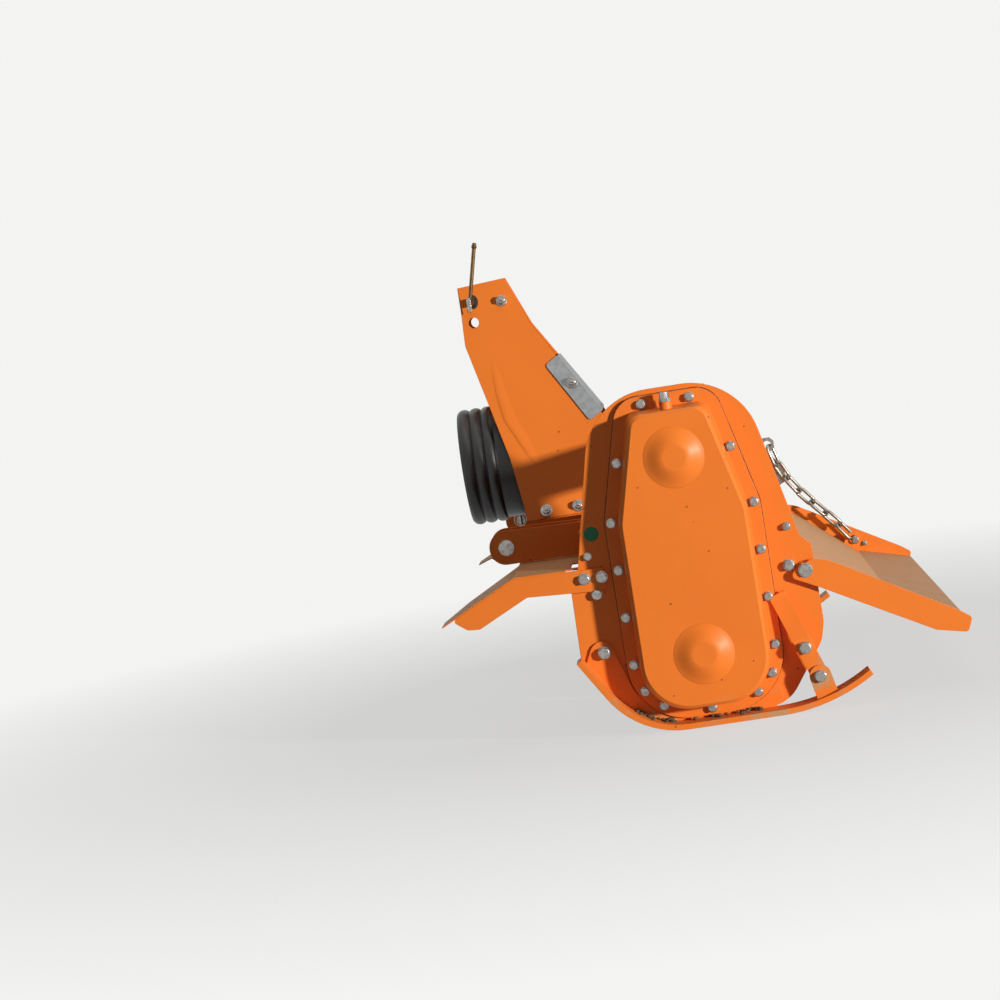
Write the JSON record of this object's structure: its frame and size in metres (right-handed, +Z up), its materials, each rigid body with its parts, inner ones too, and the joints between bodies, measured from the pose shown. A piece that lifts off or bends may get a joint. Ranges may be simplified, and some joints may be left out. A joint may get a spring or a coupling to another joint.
{
  "type": "three-point rotary tiller",
  "caption": "Side-driven rotary tiller for a three-point hitch: hooded rotor with L-shaped hoes between side plates, raising flap on a chain, skids and mast.",
  "frame": {"origin": "on the floor under the middle of the overall bounding box; the mast's middle plane is 17.5 mm to the right of it, because the drive case widens the left side", "axes": "+X forward, the way it is towed, +Y left, the drive case side, +Z up"},
  "size_m": [1.1022, 1.455, 1.0883],
  "materials": {
    "orange_paint": "gloss enamel",
    "zinc": "zinc plated, passivated",
    "galvanised": "galvanised sheet",
    "black_plastic": "black moulded polyethylene",
    "worked_steel": "forged steel polished by soil, with dirt",
    "machined_steel": "machined, oiled",
    "chrome": "polished"
  },
  "bodies": {
    "root": {"chain_post": "zinc", "cross_tubes": "orange_paint", "drive_case": "orange_paint", "filler_plug": "chrome", "flap_chain": "zinc", "flap_pivots": "zinc", "front_beam": "orange_paint", "front_guard": "orange_paint", "gearbox": "orange_paint", "guard_arms": "orange_paint", "hood": "orange_paint", "input_guard": "black_plastic", "lower_lugs": "orange_paint", "lower_pins": "zinc", "mast_clamp": "galvanised", "mast_feet": "orange_paint", "mast_plate_left": "orange_paint", "mast_plate_right": "orange_paint", "mast_spacer": "orange_paint", "rotor_bearing": "orange_paint", "side_plate_left": "orange_paint", "side_plate_right": "orange_paint", "skid_straps": "orange_paint", "skids": "orange_paint", "top_link_pin": "zinc"},
    "rotor": {"hoes": "worked_steel", "rotor_stubs": "machined_steel", "rotor_tube": "orange_paint"},
    "flap": {"flap_ends": "orange_paint", "flap_lug": "orange_paint", "flap_sheet": "orange_paint"},
    "input": {"input_shaft": "machined_steel"}
  },
  "joints": [
    {"name": "rotor_spin", "type": "hinge", "parent": "root", "child": "rotor", "pos_m": [0.01212, -0.0175, 0.156], "axis": [0, 1, 0], "continuous": true},
    {"name": "input_spin", "type": "hinge", "parent": "root", "child": "input", "pos_m": [0.26212, -0.0175, 0.571], "axis": [1, 0, 0], "continuous": true},
    {"name": "flap_hinge", "type": "hinge", "parent": "root", "child": "flap", "pos_m": [-0.22388, -0.0175, 0.29], "axis": [0, 1, 0], "range_deg": [0, 55], "deforming": ["flap_chain"]}
  ],
  "couplings": [
    {"joint": "input_spin", "follows": "rotor_spin", "ratio": 2.5}
  ]
}
